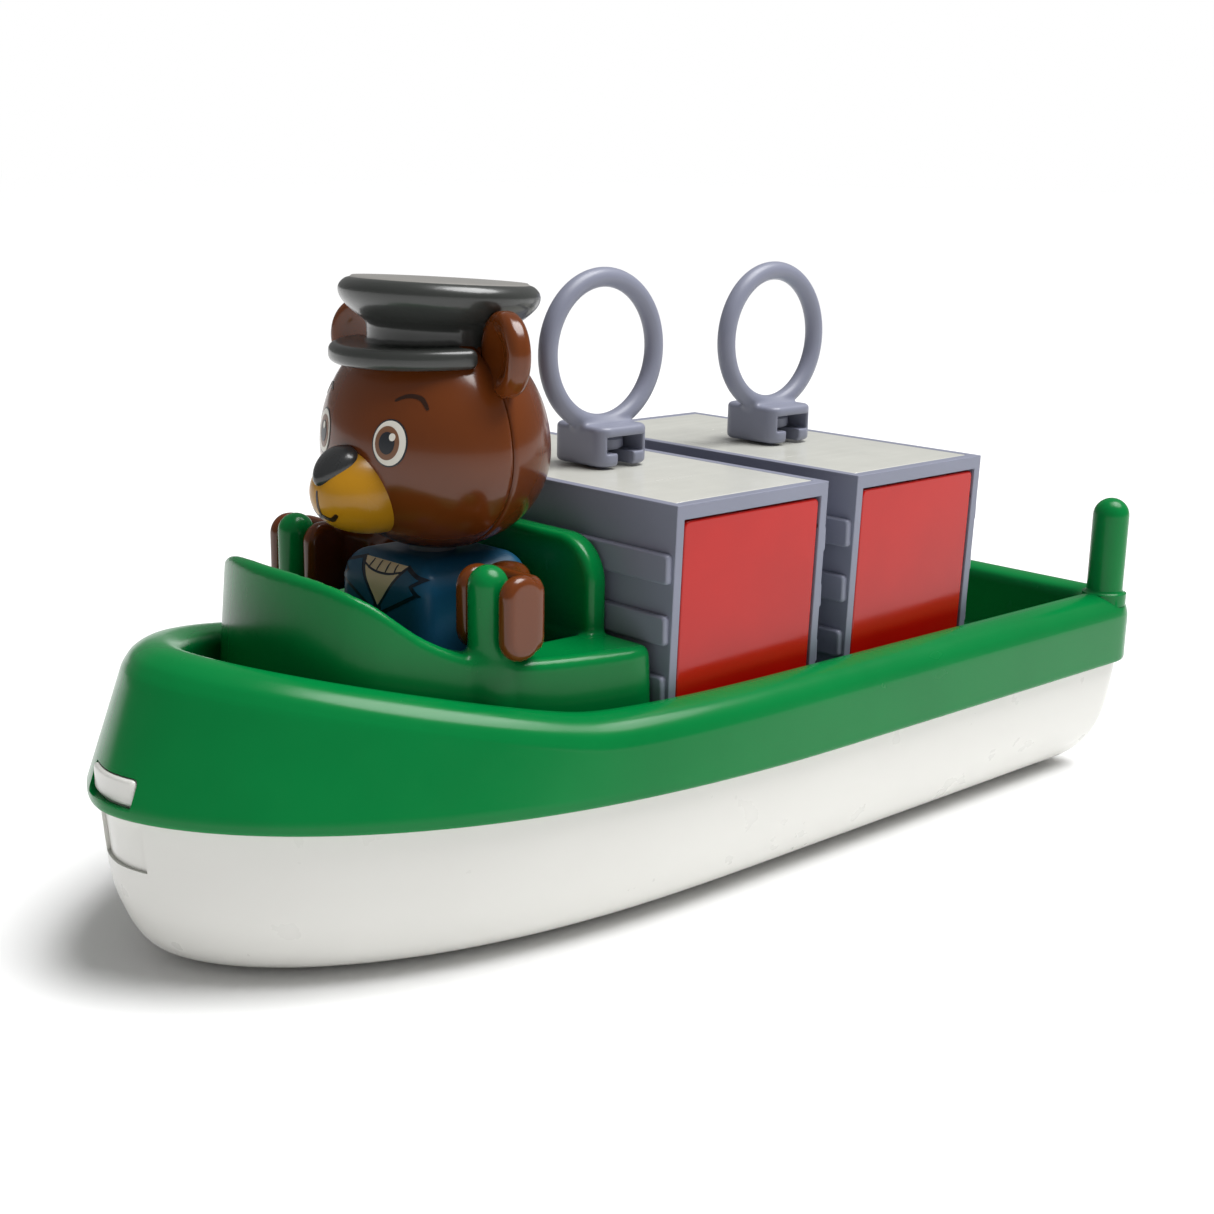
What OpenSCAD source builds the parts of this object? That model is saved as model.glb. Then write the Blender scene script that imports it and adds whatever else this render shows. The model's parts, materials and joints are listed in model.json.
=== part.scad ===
/* [Hull] */
// Overall length of the boat
boat_len = 211.4; // [205:0.2:220]
// Half width of the green band amidships
mid_half = 47.7; // [47:0.1:50]
// How much the half width grows towards the stern, per mm of length
stern_flare = 0.03; // [0.02:0.002:0.04]
// Radius of the stern corners
stern_r = 9; // [8.6:0.1:12]
// Height of the rim's inner edge amidships
rim_z = 37.2; // [36:0.1:38]
// Plan width of the rounded rim
rim_w = 8.7; // [8.5:0.1:9]
// Slope of the rim towards the bow
sheer = 0.24; // [0.1:0.01:0.3]
// Height of the band's lower edge amidships
band_z = 24.2; // [22:0.1:25]
// Height of the cargo floor
floor_z = 24.5; // [24:0.1:26]
// Wall thickness of the mouldings
wall = 1.8; // [1.4:0.1:2.2]

/* [Cockpit] */
// Aft face of the cockpit
cockpit_x = 25.2; // [25:0.1:26]
// Front face of the windscreen at its foot
screen_x = 80.5; // [78:0.5:82]
// Height of the armrests
arm_rest_z = 46.4; // [45:0.1:47]
// Height of the windscreen's crest
screen_z = 61.2; // [58:0.1:64]
// Half width of the seat well
well_half = 21.5; // [20:0.5:22]
// Distance of the grab posts ahead of the frame's origin
post_x = 53; // [52.5:0.1:53.5]
// Distance of the grab posts from the centre line
post_y = 26.4; // [26:0.1:26.8]
// Diameter of the grab posts
post_d = 6.4; // [6:0.1:6.6]

/* [Containers] */
// Length of a container along the boat
box_l = 37.8; // [36:0.1:38]
// Width of a container across the boat, at its top
box_w = 76.2; // [75:0.1:76.4]
// Height of a container
box_h = 45; // [42:0.5:48]
// Inward slope of each side from top to bottom
box_draft = 1.5; // [1.3:0.1:1.8]
// Centre of the forward container along the boat
fore_x = 4.6; // [4:0.1:5]
// Centre of the aft container along the boat
aft_x = -41.3; // [-45:0.1:-41]
// Inner radius of the ring handle
ring_r = 11.3; // [10:0.1:12]
// Thickness of the ring handle's bar
ring_bar = 3.5; // [3:0.1:4]

/* [Figure] */
// Centre of the head along the boat
head_x = 43.3; // [43:0.1:44]
// Height of the head's widest level
head_z = 76.5; // [76:0.5:78]
// Half width of the head
head_r = 21.2; // [20:0.1:21.4]
// Height of the shoulder pins
shoulder_z = 54.6; // [54:0.1:55]
// Distance of the shoulder pins ahead of the origin
shoulder_x = 40.5; // [40:0.1:41]
// Height of the hip pin
hip_z = 30.2; // [30.2:0.1:31]
// Distance of the hip pin ahead of the origin
hip_x = 42; // [41:0.1:43]

/* [Hidden] */
$fn = 64;

green = "#009648";
white = "#ecebe6";
grey = "#8b8fa0";
pale = "#d6d7cf";
red = "#c4281f";
brown = "#6b3413";
blue = "#1d5878";

bow_x = boat_len / 2;
box_z = floor_z + 0.25;
box_top = box_z + box_h;
play = 0.08;

// ---- outline of the hull, inset by d, from the bow round by port to the stern and back ----
function bow_point(a, d) =
    let (x = (bow_x - d) * pow(cos(a), 0.7))
    [x, (mid_half - d - stern_flare * x) * pow(sin(a), 1.16)];
function stern_half(x, d) = mid_half - d - stern_flare * x;
function corner_point(a, d) =
    let (r = max(4, stern_r - d), cx = d + r - bow_x)
    [cx - r * sin(a), stern_half(cx, d) - r * (1 - cos(a))];
function port_side(d) = concat(
    [for (a = [0 : 5 : 90]) bow_point(a, d)],
    [for (x = [-24 : -24 : -72]) [x, stern_half(x, d)]],
    [for (a = [6 : 12 : 90]) corner_point(a, d)]
);
function outline(d) =
    let (side = port_side(d), n = len(side))
    concat(side, [for (i = [n - 1 : -1 : 1]) [side[i][0], -side[i][1]]]);

// ---- heights that change along the boat ----
function rise(x, from, soft) = (x - from + sqrt(pow(x - from, 2) + soft * soft)) / 2;
function rim_at(x) = rim_z + sheer * (rise(x, 42.3, 5) - rise(-bow_x, 42.3, 5));
function band_at(x) = band_z + 0.031 * rise(x, 0, 8);
function lean_at(x) = 9.1 * pow(max(0, x) / bow_x, 2);
function screen_at(x) =
    let (t = min(1, max(0, (x - 50) / 29)))
    arm_rest_z + (screen_z - arm_rest_z) * (0.5 - 0.5 * cos(180 * t));

// Solid through rings of equal length; closed = true joins the last ring to the first
module loft(rings, closed = false) {
    n = len(rings[0]);
    m = len(rings);
    last = closed ? m - 1 : m - 2;
    skin = [for (j = [0 : last], i = [0 : n - 1])
        let (k = (i + 1) % n, a = j * n, b = ((j + 1) % m) * n)
        each [[a + i, b + i, b + k], [a + i, b + k, a + k]]];
    ends = closed ? [] : [[for (i = [0 : n - 1]) i], [for (i = [n - 1 : -1 : 0]) (m - 1) * n + i]];
    polyhedron([for (r = rings) each r], concat(skin, ends));
}

// Plan of the hull inset by d plus a share of the bow's inward lean
function lean_plan(d, lean) =
    let (o = outline(d), q = outline(d + 1))
    [for (i = [0 : len(o) - 1]) o[i] + (q[i] - o[i]) * lean * lean_at(o[i][0])];

// Rings of the hull at heights that follow the band, the rim, or neither
function band_ring(d, up) = [for (p = outline(d)) [p[0], p[1], band_at(p[0]) + up]];
function rim_ring(d, up, lean) = [for (p = lean_plan(d, lean)) [p[0], p[1], rim_at(p[0]) + up]];
function wall_ring(d, z) = [for (p = lean_plan(d, 1)) [p[0], p[1], z]];
function flat_ring(d, z) = [for (p = outline(d)) [p[0], p[1], z]];

// ---- boat ----
catch_w = 9.5;
catch_h = 3.8;
catch_z = 31.4;
post_r = 3.65;
stern_post = [-97.5, 45.6];
collar_top = 38.9;

module dome_post(x, y, r, foot, top) {
    translate([x, y, foot])
        rotate_extrude()
            polygon(concat([[0, 0], [r, 0]],
                [for (a = [0 : 15 : 90]) [r * cos(a), top - foot - r + r * sin(a)]]));
}

module lower_hull() {
    inset = 1.5;
    color(white) {
        difference() {
            loft([
                flat_ring(17, 0), flat_ring(12.4, 0.8), flat_ring(8.8, 2.7), flat_ring(6.2, 5.6),
                flat_ring(4.3, 9.6), flat_ring(2.8, 15), band_ring(inset + 0.1, -0.4),
                band_ring(inset, 4.2), band_ring(inset + wall, 4.2), flat_ring(4.7, 15),
                flat_ring(6.2, 9.6), flat_ring(8, 6.2), flat_ring(10.4, 3.8), flat_ring(14, 2.2)
            ]);
            bow_recess();
        }
        snap_catch(1);
        snap_catch(-1);
    }
}

// Shallow rectangle sunk into the stem below the band, following its curve
module bow_recess() {
    depth = 0.6;
    stem_r = 12;
    low = 14.5;
    high = 24;
    difference() {
        translate([bow_x - 8, -5.5, low])
            cube([10, 11, high - low]);
        translate([bow_x - 2.8 - stem_r, 0, low - 1])
            cylinder(h = high - low + 2, r1 = stem_r - depth, r2 = stem_r + 1.4 - depth);
    }
}

// Tongue with a nose that shows through the band's slot; way is 1 at the bow, -1 at the stern
module snap_catch(way) {
    tongue = way > 0 ? bow_x - 3.1 : bow_x - 2;
    nose_r = 12.5;
    foot = 22;
    mirror([way > 0 ? 0 : 1, 0, 0]) {
        translate([tongue - 1.4, -catch_w / 2, foot])
            cube([1.4, catch_w, catch_z + catch_h / 2 - foot]);
        intersection() {
            translate([tongue - 0.2, -catch_w / 2, catch_z - catch_h / 2])
                cube([6, catch_w, catch_h]);
            translate([way > 0 ? bow_x - 1 - nose_r : bow_x - 0.6 - 10, 0, catch_z - catch_h / 2])
                if (way > 0)
                    cylinder(h = catch_h, r = nose_r);
                else
                    translate([0, -10, 0])
                        cube([10, 20, catch_h]);
        }
    }
}

module catch_slots() {
    slot_w = catch_w + 0.6;
    for (x = [bow_x - 5.2, -bow_x - 2])
        translate([x, -slot_w / 2, catch_z - catch_h / 2 - 0.3])
            cube([7.2, slot_w, catch_h + 0.6]);
}

module deck() {
    skirt = 1.35;
    color(green)
        difference() {
            union() {
                loft([
                    band_ring(0.3, 0), band_ring(0, 0.6), rim_ring(0, -8, 0.45), rim_ring(0, -3.2, 0.75),
                    rim_ring(0.9, -1.2, 0.85), rim_ring(2.4, 0.5, 0.95), rim_ring(5.2, 1.4, 1),
                    rim_ring(7.4, 0.9, 1), rim_ring(rim_w, -0.5, 1), wall_ring(rim_w, floor_z - 2.5),
                    wall_ring(rim_w - wall, floor_z - 2.5), rim_ring(rim_w - wall, -2, 1),
                    rim_ring(skirt, -3.6, 0.75), rim_ring(skirt, -8, 0.45), band_ring(skirt, 4.4), band_ring(skirt, 0)
                ], closed = true);
                translate([0, 0, floor_z - 2])
                    linear_extrude(2)
                        polygon(lean_plan(rim_w - 0.8, 1));
                dome_post(stern_post[0], stern_post[1], post_r, collar_top - 1, 58.2);
                translate([stern_post[0], stern_post[1], collar_top - 3])
                    cylinder(h = 3, r = post_r + 0.35);
            }
            catch_slots();
        }
}

// Raked, gently curved front of the cockpit, moved inwards by inset
module screen_cone(inset) {
    curve_r = 40;
    rake = 3.6;
    high = screen_z - floor_z;
    translate([screen_x - curve_r, 0, floor_z])
        cylinder(h = 2 * high, r1 = curve_r - inset, r2 = curve_r - inset - 2 * rake);
}

module cockpit_body() {
    intersection() {
        translate([0, 0, floor_z])
            linear_extrude(60)
                polygon(lean_plan(rim_w + 1.6, 1));
        rotate([90, 0, 0])
            linear_extrude(120, center = true)
                polygon(concat(
                    [[cockpit_x, floor_z], [cockpit_x, arm_rest_z]],
                    [for (x = [46 : 2 : 80]) [x, screen_at(x)]],
                    [[bow_x, screen_z], [bow_x, floor_z]]));
        screen_cone(0);
    }
}

module seat_well() {
    inset = 2.6;
    intersection() {
        translate([cockpit_x + 4.1, -well_half, floor_z + 1.5])
            cube([60, 2 * well_half, 60]);
        translate([0, 0, floor_z])
            linear_extrude(70)
                polygon(lean_plan(rim_w + 1.6 + inset, 1));
        screen_cone(inset);
    }
}

module seat_back() {
    half = 24.1;
    r = 8;
    top = 62.6;
    translate([cockpit_x, 0, 0])
        rotate([90, 0, 90])
            linear_extrude(4.1) {
                translate([-half, floor_z])
                    square([2 * half, top - r - floor_z]);
                translate([r - half, floor_z])
                    square([2 * (half - r), top - floor_z]);
                for (s = [-1, 1])
                    translate([s * (half - r), top - r])
                        circle(r);
            }
}

module cockpit() {
    color(green)
        difference() {
            union() {
                cockpit_body();
                seat_back();
                for (s = [-1, 1])
                    dome_post(post_x, s * post_y, post_d / 2, arm_rest_z - 1, 62.4);
            }
            seat_well();
        }
}

// ---- containers ----
box_wall = 1.9;
rib_out = 0.7;
rib_pitch = 10.3;
rib_first = 10.6;
panel_t = 1.6;
lid_t = 1.6;

// Side profile of a container across the boat: wide at the top, narrower at the bottom
module box_body(grow, up) {
    half = box_w / 2 + grow;
    lean = box_draft * (box_h + up) / box_h;
    polygon([[-half, up], [half, up], [half - lean, -box_h], [lean - half, -box_h]]);
}

module box_ribs() {
    for (face = [-1, 1], k = [0 : 3])
        translate([face * (box_l / 2 - 0.2), 0, -rib_first - k * rib_pitch])
            rotate([90, 0, 0])
                linear_extrude(box_w - 8, center = true)
                    polygon([[-face, 2.6], [face * rib_out, 1.9], [face * rib_out, -1.9], [-face, -2.6]]);
}

// Open-ended box: lid rebate on top, panel rebates in both ends, ribs on the long faces
module box_frame() {
    half = box_w / 2;
    inner_l = box_l - 2 * box_wall;
    jamb = 1.8;
    difference() {
        union() {
            rotate([90, 0, 90])
                linear_extrude(box_l, center = true)
                    box_body(0, 0);
            box_ribs();
        }
        translate([-inner_l / 2, -half - 1, box_wall - box_h])
            cube([inner_l, box_w + 2, box_h - 2 * box_wall - lid_t]);
        translate([-box_l / 2 + jamb, -half + 2.2, -lid_t])
            cube([box_l - 2 * jamb, box_w - 4.4, 5]);
        for (s = [-1, 1])
            translate([-box_l / 2 + jamb, s * (half - 1) - 3, 1.2 - box_h])
                cube([box_l - 2 * jamb, 6, box_h - 3.7]);
        translate([0, 0, -lid_t - 0.5])
            cylinder(h = 1, r = 3.3);
        for (s = [-1, 1])
            panel_pegs(s, 0.06);
    }
}

module box_lid() {
    gap = 0.1;
    l = box_l - 3.6 - 2 * gap;
    w = box_w - 4.4 - 2 * gap;
    difference() {
        translate([-l / 2, -w / 2, -lid_t])
            cube([l, w, lid_t]);
        translate([0, 0, -3])
            cylinder(h = 4, r = 2.2);
    }
}

// Puts a panel's own frame at the middle of its top edge, leaning with the container's end
module at_panel(side) {
    translate([0, side * (box_w / 2 - 1.1), -2.8])
        rotate([-side * atan(box_draft / box_h), 0, 0])
            children();
}

// Four pegs on the panel's upright edges that snap into the jambs
module panel_pegs(side, grow) {
    at_panel(side)
        for (s = [-1, 1], z = [-5, -35])
            translate([s * (box_l / 2 - 1.7), 0, z])
                rotate([0, 90, 0])
                    cylinder(h = 2.2 + 2 * grow, r = 0.65 + grow, center = true);
}

module box_panel(side) {
    gap = 0.3;
    h = box_h - 3.7 - 2 * gap;
    l = box_l - 3.6 - 2 * gap;
    at_panel(side)
        translate([-l / 2, -panel_t / 2, -h])
            cube([l, panel_t, h]);
    panel_pegs(side, 0);
}

// Mushroom lug: stem through the lid, round head above it
lug_stem = 1.6;
lug_head = 4;
lug_low = 3;
lug_top = 5.3;

module box_lug() {
    rotate_extrude()
        polygon([[0, -lid_t - 0.4], [3.2, -lid_t - 0.4], [3.2, -lid_t], [2.1, -lid_t], [2.1, 0],
            [lug_stem, 0], [lug_stem, lug_low], [lug_head - 0.4, lug_low], [lug_head, lug_low + 0.4],
            [lug_head, lug_top - 0.5], [lug_head - 0.5, lug_top], [0, lug_top]]);
}

// Ring handle: grip ring over a block with a T-slot that slides on to the lug
module box_ring() {
    block_l = 12.2;
    block_w = 13.5;
    low = 0.45;
    high = 7.6;
    ring_z = 20.4;
    bar = ring_bar / 2;
    difference() {
        union() {
            translate([-block_l / 2, -block_w / 2 + 3, low])
                cube([block_l, block_w - 3, high - low]);
            translate([-block_l / 2 + 3, -block_w / 2, low])
                cube([block_l - 6, 4, high - low]);
            for (s = [-1, 1])
                translate([s * (block_l / 2 - 3), -block_w / 2 + 3, low])
                    cylinder(h = high - low, r = 3);
        }
        translate([0, 0, lug_low - 0.2])
            cylinder(h = lug_top - lug_low + 0.5, r = lug_head + 0.4);
        translate([-lug_head - 0.4, 0, lug_low - 0.2])
            cube([2 * lug_head + 0.8, block_w, lug_top - lug_low + 0.5]);
        cylinder(h = lug_low, r = lug_stem + 0.35);
        translate([-lug_stem - 0.35, 0, 0])
            cube([2 * lug_stem + 0.7, block_w, lug_low]);
    }
    difference() {
        translate([0, 0, ring_z])
            rotate([90, 0, 0])
                rotate_extrude()
                    translate([ring_r + bar, 0])
                        circle(bar);
        translate([-20, -20, low - 4])
            cube([40, 40, high - low + 3.5]);
    }
}

module at_fore() {
    translate([fore_x, 0, box_top])
        children();
}

module at_aft() {
    translate([aft_x, 0, box_top])
        children();
}

module fore_box_frame() { color(grey) at_fore() box_frame(); }
module fore_box_lid() { color(pale) at_fore() box_lid(); }
module fore_box_port_panel() { color(red) at_fore() box_panel(1); }
module fore_box_starboard_panel() { color(red) at_fore() box_panel(-1); }
module fore_box_lug() { color(grey) at_fore() box_lug(); }
module fore_box_ring() { color(grey) at_fore() box_ring(); }
module aft_box_frame() { color(grey) at_aft() box_frame(); }
module aft_box_lid() { color(pale) at_aft() box_lid(); }
module aft_box_port_panel() { color(red) at_aft() box_panel(1); }
module aft_box_starboard_panel() { color(red) at_aft() box_panel(-1); }
module aft_box_lug() { color(grey) at_aft() box_lug(); }
module aft_box_ring() { color(grey) at_aft() box_ring(); }

// ---- figure ----
torso_half = 12;
torso_d = 25.2;
torso_x = 42.7;
torso_low = hip_z + 4.2;
torso_top = 59.2;
neck_r = 4;
pin_r = 2;
hip_r = 1.6;

module rounded_plan(l, w, r) {
    for (s = [-1, 1], t = [-1, 1])
        translate([s * (l / 2 - r), t * (w / 2 - r)])
            circle(r);
    square([l, w - 2 * r], center = true);
    square([l - 2 * r, w], center = true);
}

module torso() {
    tongue = 2.4;
    color(blue)
        difference() {
            union() {
                translate([torso_x, 0, torso_low])
                    linear_extrude(torso_top - 2 - torso_low)
                        rounded_plan(torso_d, 2 * torso_half, 6);
                translate([torso_x, 0, torso_top - 2])
                    linear_extrude(2)
                        rounded_plan(torso_d - 2.4, 2 * torso_half - 2.4, 4.8);
                translate([hip_x - 4, -tongue, hip_z])
                    cube([8, 2 * tongue, torso_low - hip_z + 1]);
                translate([hip_x, 0, hip_z])
                    rotate([90, 0, 0])
                        cylinder(h = 2 * tongue, r = 4, center = true);
            }
            translate([hip_x, 0, hip_z])
                rotate([90, 0, 0])
                    cylinder(h = 20, r = hip_r + play, center = true);
            for (s = [-1, 1])
                translate([shoulder_x, s * (torso_half - 2), shoulder_z])
                    rotate([90, 0, 0])
                        cylinder(h = 6, r = pin_r + play, center = true);
            translate([head_x, 0, torso_top - 8])
                cylinder(h = 12, r = neck_r - 1);
        }
}

// Neck pin: pressed into the torso, with a flange that keeps the head on
module neck_pin() {
    color("#3a3f46")
        translate([head_x, 0, 0])
            rotate_extrude()
                polygon([[0, torso_top - 8], [neck_r - 1, torso_top - 8], [neck_r - 1, torso_top],
                    [neck_r, torso_top], [neck_r, 65], [neck_r + 2, 65], [neck_r + 2, 66.4],
                    [neck_r - 1, 67.6], [0, 67.6]]);
}

// Half section of the head, shrunk by t all round; the face is flatter than the back
head_low = 59.9;
head_high = 97;
face_flat = 0.8;
back_flat = 0.882;

function head_radius(a) = pow(abs(cos(a)), 0.92);
module head_section(t) {
    polygon(concat(
        [[0, head_low + t]],
        [for (a = [-84 : 6 : 84])
            let (h = a < 0 ? head_z - head_low - t : head_high - head_z - t)
            [(head_r - t) * head_radius(a), head_z + h * sin(a)]],
        [[0, head_high - t]]));
}

module head_solid(flat, t) {
    translate([head_x, 0, 0])
        scale([flat, 1, 1])
            rotate_extrude()
                head_section(t);
}

module head_block() {
    intersection() {
        head_solid(face_flat, 0);
        translate([head_x, -40, 50])
            cube([40, 80, 60]);
    }
    intersection() {
        head_solid(back_flat, 0);
        translate([head_x - 40, -40, 50])
            cube([40, 80, 60]);
    }
}

module head_shell(side) {
    seam = 0.05;
    flat = side > 0 ? face_flat : back_flat;
    difference() {
        intersection() {
            difference() {
                head_solid(flat, 0);
                head_solid(flat, 1.9);
            }
            translate([side > 0 ? head_x + seam : head_x - 40, -40, 50])
                cube([40 - seam, 80, 60]);
        }
        translate([head_x, 0, 50])
            cylinder(h = 15, r = neck_r + play);
    }
}

muzzle_c = [54.2, 0, 71];
muzzle_r = 9.4;

module muzzle_section() {
    polygon(concat([[0, 0], [muzzle_r, 0]],
        [for (a = [10 : 10 : 80]) [muzzle_r * pow(cos(a), 0.9), 12.4 * sin(a)]], [[0, 12.4]]));
}

module muzzle_solid() {
    translate(muzzle_c)
        rotate([0, 90, 0])
            rotate_extrude()
                muzzle_section();
}

// Peg that plugs the muzzle into the front shell
module muzzle_spigot(grow) {
    translate([muzzle_c[0], 0, muzzle_c[2]])
        rotate([0, 90, 0])
            cylinder(h = 10, r = 5 + grow);
}

module head_front() {
    color(brown)
        difference() {
            head_shell(1);
            muzzle_spigot(0.1);
        }
}

module head_back() {
    color(brown)
        head_shell(-1);
}

module muzzle() {
    color("#c9951f")
        difference() {
            union() {
                difference() {
                    muzzle_solid();
                    head_solid(face_flat, 0);
                }
                muzzle_spigot(0);
            }
            nose_solid(0);
        }
}

module nose_solid(grow) {
    translate([63.8, 0, 74.2])
        sphere(3.1 + grow);
}

module nose() {
    color("#333436")
        nose_solid(-0.02);
}

module ear(side) {
    color(brown)
        difference() {
            translate([head_x - 0.5, side * 18.6, 93.2])
                rotate([0, 90, -side * 17])
                    rotate_extrude()
                        polygon([[0, -1.8], [6, -1.8], [6.8, -1], [6.8, 1], [6, 1.8], [5, 1.2], [0, 1.2]]);
            head_block();
            cap_solid();
        }
}

module ear_left() { ear(1); }
module ear_right() { ear(-1); }

cap_low = 91;
cap_top = 104.4;
cap_r = 16.6;
visor_x = 46;

module cap_solid() {
    translate([41.5, 0, 0])
        rotate_extrude()
            polygon([[0, cap_low], [12, cap_low], [11.4, 96], [13.7, 97.6], [16, 100],
                [cap_r, 101.6], [16.2, 103], [14.6, cap_top], [0, cap_top]]);
    translate([0, 0, cap_low])
        linear_extrude(3.2)
            intersection() {
                translate([head_x, 0])
                    circle(cap_r);
                translate([visor_x, -20])
                    square(40);
            }
}

module cap() {
    color("#4a4c4c")
        difference() {
            cap_solid();
            head_block();
        }
}

// Arm seen from the side: a rounded slab as tall as the hand
arm_half = 6.7;
shoulder_half = 5.4;
hand_gap = 0.5;
finger_t = 3;
palm_x = 48.4;
finger_x = 55.6;
arm_in = torso_half + 0.4;

module arm_profile(front) {
    r = 4;
    rotate([90, 0, 0])
        linear_extrude(60, center = true) {
            translate([shoulder_x, shoulder_z])
                circle(shoulder_half);
            for (s = [-1, 1]) {
                translate([front - r, shoulder_z + s * (arm_half - r)])
                    circle(r);
                translate([0, shoulder_z])
                    polygon([[shoulder_x, 0], [front, 0], [front, s * (arm_half - r)],
                        [front - r, s * arm_half], [shoulder_x, s * shoulder_half]]);
            }
        }
}

module arm_plan(side) {
    slot = post_d / 2 + hand_gap;
    inner = post_y - slot - finger_t;
    outer = post_y + slot + finger_t;
    mirror([0, side < 0 ? 1 : 0, 0])
        translate([0, 0, shoulder_z - 10])
            linear_extrude(20)
                polygon([[shoulder_x - 4, arm_in], [shoulder_x + 4, arm_in], [palm_x - 1, inner],
                    [palm_x + 1, inner], [palm_x + 1, outer], [palm_x - 2.4, outer],
                    [shoulder_x - 4, arm_in + 4]]);
}

module arm(side) {
    slot = post_d / 2 + hand_gap;
    color(brown) {
        intersection() {
            arm_profile(palm_x);
            arm_plan(side);
        }
        intersection() {
            arm_profile(finger_x);
            for (s = [-1, 1])
                translate([palm_x - 2.4, side * post_y + s * (slot + finger_t / 2), shoulder_z])
                    translate([0, -finger_t / 2, -arm_half])
                        cube([20, finger_t, 2 * arm_half]);
        }
        translate([shoulder_x, side * (torso_half - 1.2), shoulder_z])
            rotate([90, 0, 0])
                cylinder(h = 4.4, r = pin_r, center = true);
    }
}

module arm_left() { arm(1); }
module arm_right() { arm(-1); }

module leg(side) {
    in = 2.7;
    w = 6.8;
    y = side > 0 ? in : -in - w;
    color(blue)
        difference() {
            union() {
                translate([hip_x, y + w / 2, hip_z])
                    rotate([90, 0, 0])
                        cylinder(h = w, r = 4, center = true);
                translate([hip_x, y, hip_z - 4])
                    cube([22, w, 8]);
                translate([hip_x + 17, y, hip_z - 4])
                    cube([5.5, w, 14]);
            }
            translate([hip_x, 0, hip_z])
                rotate([90, 0, 0])
                    cylinder(h = 30, r = hip_r, center = true);
        }
}

module leg_left() { leg(1); }
module leg_right() { leg(-1); }

module hip_pin() {
    color("#b9bcc0")
        translate([hip_x, 0, hip_z])
            rotate([90, 0, 0])
                cylinder(h = 18.6, r = hip_r, center = true);
}

lower_hull();
deck();
cockpit();
fore_box_frame();
fore_box_lid();
fore_box_port_panel();
fore_box_starboard_panel();
fore_box_lug();
fore_box_ring();
aft_box_frame();
aft_box_lid();
aft_box_port_panel();
aft_box_starboard_panel();
aft_box_lug();
aft_box_ring();
torso();
neck_pin();
head_front();
head_back();
ear_left();
ear_right();
muzzle();
nose();
cap();
arm_left();
arm_right();
leg_left();
leg_right();
hip_pin();
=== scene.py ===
"""Toy cargo boat with a bear captain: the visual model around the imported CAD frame.

Shapes are in millimetres, in the frame's own axes: +X to the bow, +Y to port, +Z up.
"""
import json
import math

import bmesh
import bpy
import numpy as np
from mathutils import Matrix, Vector
from mathutils.bvhtree import BVHTree


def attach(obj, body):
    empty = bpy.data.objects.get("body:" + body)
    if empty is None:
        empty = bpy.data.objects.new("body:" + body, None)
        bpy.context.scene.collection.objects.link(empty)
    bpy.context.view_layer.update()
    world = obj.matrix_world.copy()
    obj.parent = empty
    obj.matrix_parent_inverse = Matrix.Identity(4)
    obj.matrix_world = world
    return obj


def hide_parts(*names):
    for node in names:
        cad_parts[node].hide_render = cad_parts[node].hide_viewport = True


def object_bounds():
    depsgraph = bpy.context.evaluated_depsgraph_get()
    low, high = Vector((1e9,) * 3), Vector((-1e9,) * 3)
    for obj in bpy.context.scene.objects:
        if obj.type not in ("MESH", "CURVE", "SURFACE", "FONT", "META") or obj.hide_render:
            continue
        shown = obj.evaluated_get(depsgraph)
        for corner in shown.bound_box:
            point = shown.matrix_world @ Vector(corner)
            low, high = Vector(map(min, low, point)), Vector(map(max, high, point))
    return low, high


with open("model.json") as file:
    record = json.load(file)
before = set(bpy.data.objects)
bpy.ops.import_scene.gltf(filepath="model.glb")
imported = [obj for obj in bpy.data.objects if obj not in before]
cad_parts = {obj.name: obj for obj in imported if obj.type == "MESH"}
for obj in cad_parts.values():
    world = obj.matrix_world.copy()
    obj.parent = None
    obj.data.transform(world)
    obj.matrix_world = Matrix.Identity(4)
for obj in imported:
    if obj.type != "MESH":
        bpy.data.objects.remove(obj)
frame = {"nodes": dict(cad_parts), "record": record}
cad_low, cad_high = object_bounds()
scene = bpy.context.scene
MM = 0.001
BODY = {n: b for b, ns in frame["record"]["behaviour"]["bodies"].items() for n in ns}


# ---------------------------------------------------------------- materials
def linear(rgb):
    """An sRGB colour given as 0-255, in the renderer's linear values."""
    out = []
    for c in rgb:
        c /= 255
        out.append(c / 12.92 if c <= 0.04045 else ((c + 0.055) / 1.055) ** 2.4)
    return out + [1.0]


# Noise patterns as (scale per metre, detail), the depth of the bumps in metres, and the gloss.
FLOW, GLOSS, PEEL, FINE, SCRATCH = (42, 4), (130, 5), (260, 2), (2600, 3), (1, 2)
SCRATCH_STRETCH, SCRATCH_TURN, SCRATCH_FROM = (60, 420, 150), (0.3, 0.5, 0.7), (0.45, 0.95)
PEEL_DEPTH, FINE_DEPTH = 0.00012, 0.00003
GLOSSIER, DULLER, COAT_ROUGH = 0.05, 0.07, 0.08


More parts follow.
